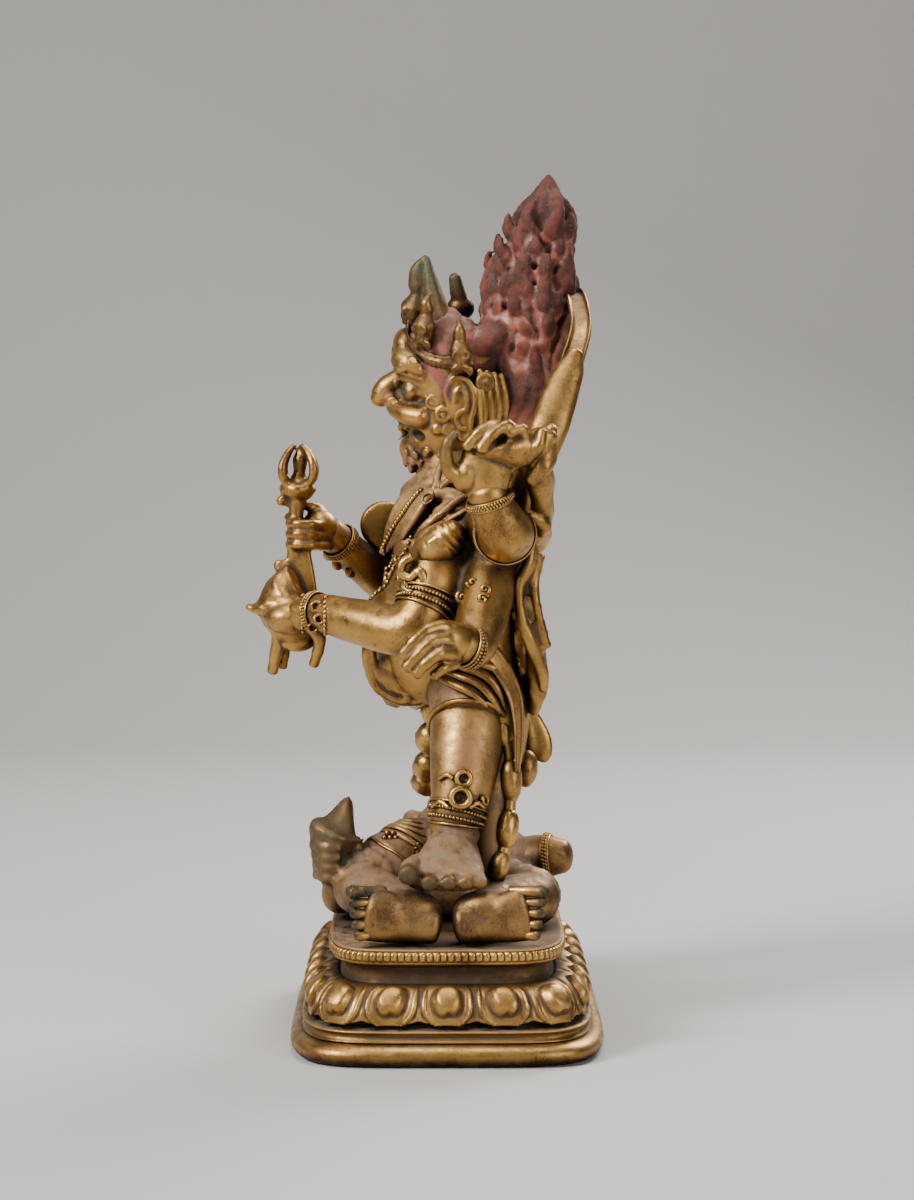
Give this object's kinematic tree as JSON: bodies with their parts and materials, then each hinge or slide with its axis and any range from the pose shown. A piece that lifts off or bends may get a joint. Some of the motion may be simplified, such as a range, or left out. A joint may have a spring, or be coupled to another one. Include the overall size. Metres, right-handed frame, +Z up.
{
  "type": "mahakala figure",
  "caption": "Six-armed wrathful standing deity with flame hair, arched scarf and skull cup, treading on a lying figure, on an oblong lotus plinth.",
  "frame": {"origin": "centre of the flat underside of the lotus base", "axes": "+Z up; the figure faces -Y; its left side and the base's near end are towards +X, along which the base is long"},
  "size_m": [0.115, 0.085, 0.2023],
  "materials": {
    "gilt_bronze": "worn gilding over bronze, dusty in the hollows",
    "worn_bronze": "worn gilding, dark patina and dust"
  },
  "bodies": {
    "root": {"lotus_base": "gilt_bronze", "trampled_figure": "worn_bronze", "mahakala_figure": "gilt_bronze"}
  },
  "joints": []
}
